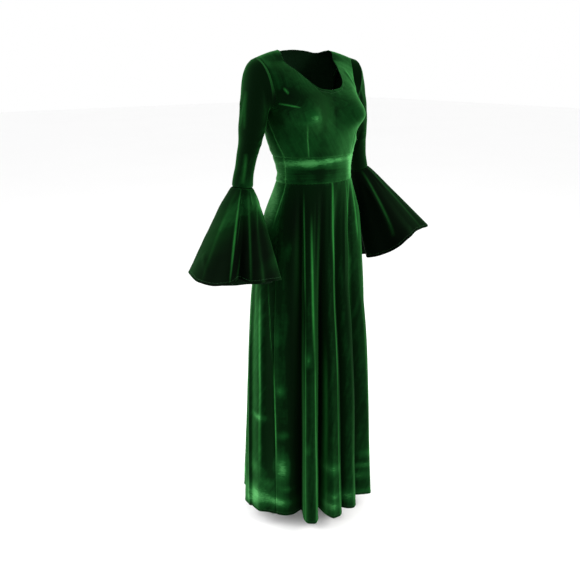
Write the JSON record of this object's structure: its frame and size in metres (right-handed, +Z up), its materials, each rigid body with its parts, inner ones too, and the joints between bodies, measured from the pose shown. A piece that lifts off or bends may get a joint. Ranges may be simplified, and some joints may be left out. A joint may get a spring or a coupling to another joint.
{
  "type": "renaissance gown",
  "caption": "Long velvet gown with scoop neck, fitted darted bodice, wide waistband, flared skirt with soft folds, and fitted sleeves ending in wide bells; worn form, open inside.",
  "frame": {"origin": "midway between the two shoulder seams, level with the top of the neckline's corners, where the wearer's shoulders hold the gown up", "axes": "+Z up along the wearer's height, -Y to the wearer's front, +X to the wearer's left"},
  "size_m": [0.8406, 0.3921, 1.4001],
  "materials": {
    "bodice_front": "dark green stretch velvet with a soft nap",
    "bodice_back": "dark green stretch velvet with a soft nap",
    "waistband_front": "dark green stretch velvet with a soft nap",
    "waistband_back": "dark green stretch velvet with a soft nap",
    "skirt_front": "dark green stretch velvet with a soft nap",
    "skirt_back": "dark green stretch velvet with a soft nap",
    "sleeve_right": "dark green stretch velvet with a soft nap",
    "sleeve_left": "dark green stretch velvet with a soft nap",
    "bell_right": "dark green stretch velvet with a soft nap",
    "bell_left": "dark green stretch velvet with a soft nap"
  },
  "bodies": {
    "root": {"bodice_front": "bodice_front", "bodice_back": "bodice_back", "waistband_front": "waistband_front", "waistband_back": "waistband_back", "skirt_front": "skirt_front", "skirt_back": "skirt_back", "sleeve_right": "sleeve_right", "sleeve_left": "sleeve_left", "bell_right": "bell_right", "bell_left": "bell_left"}
  },
  "joints": []
}
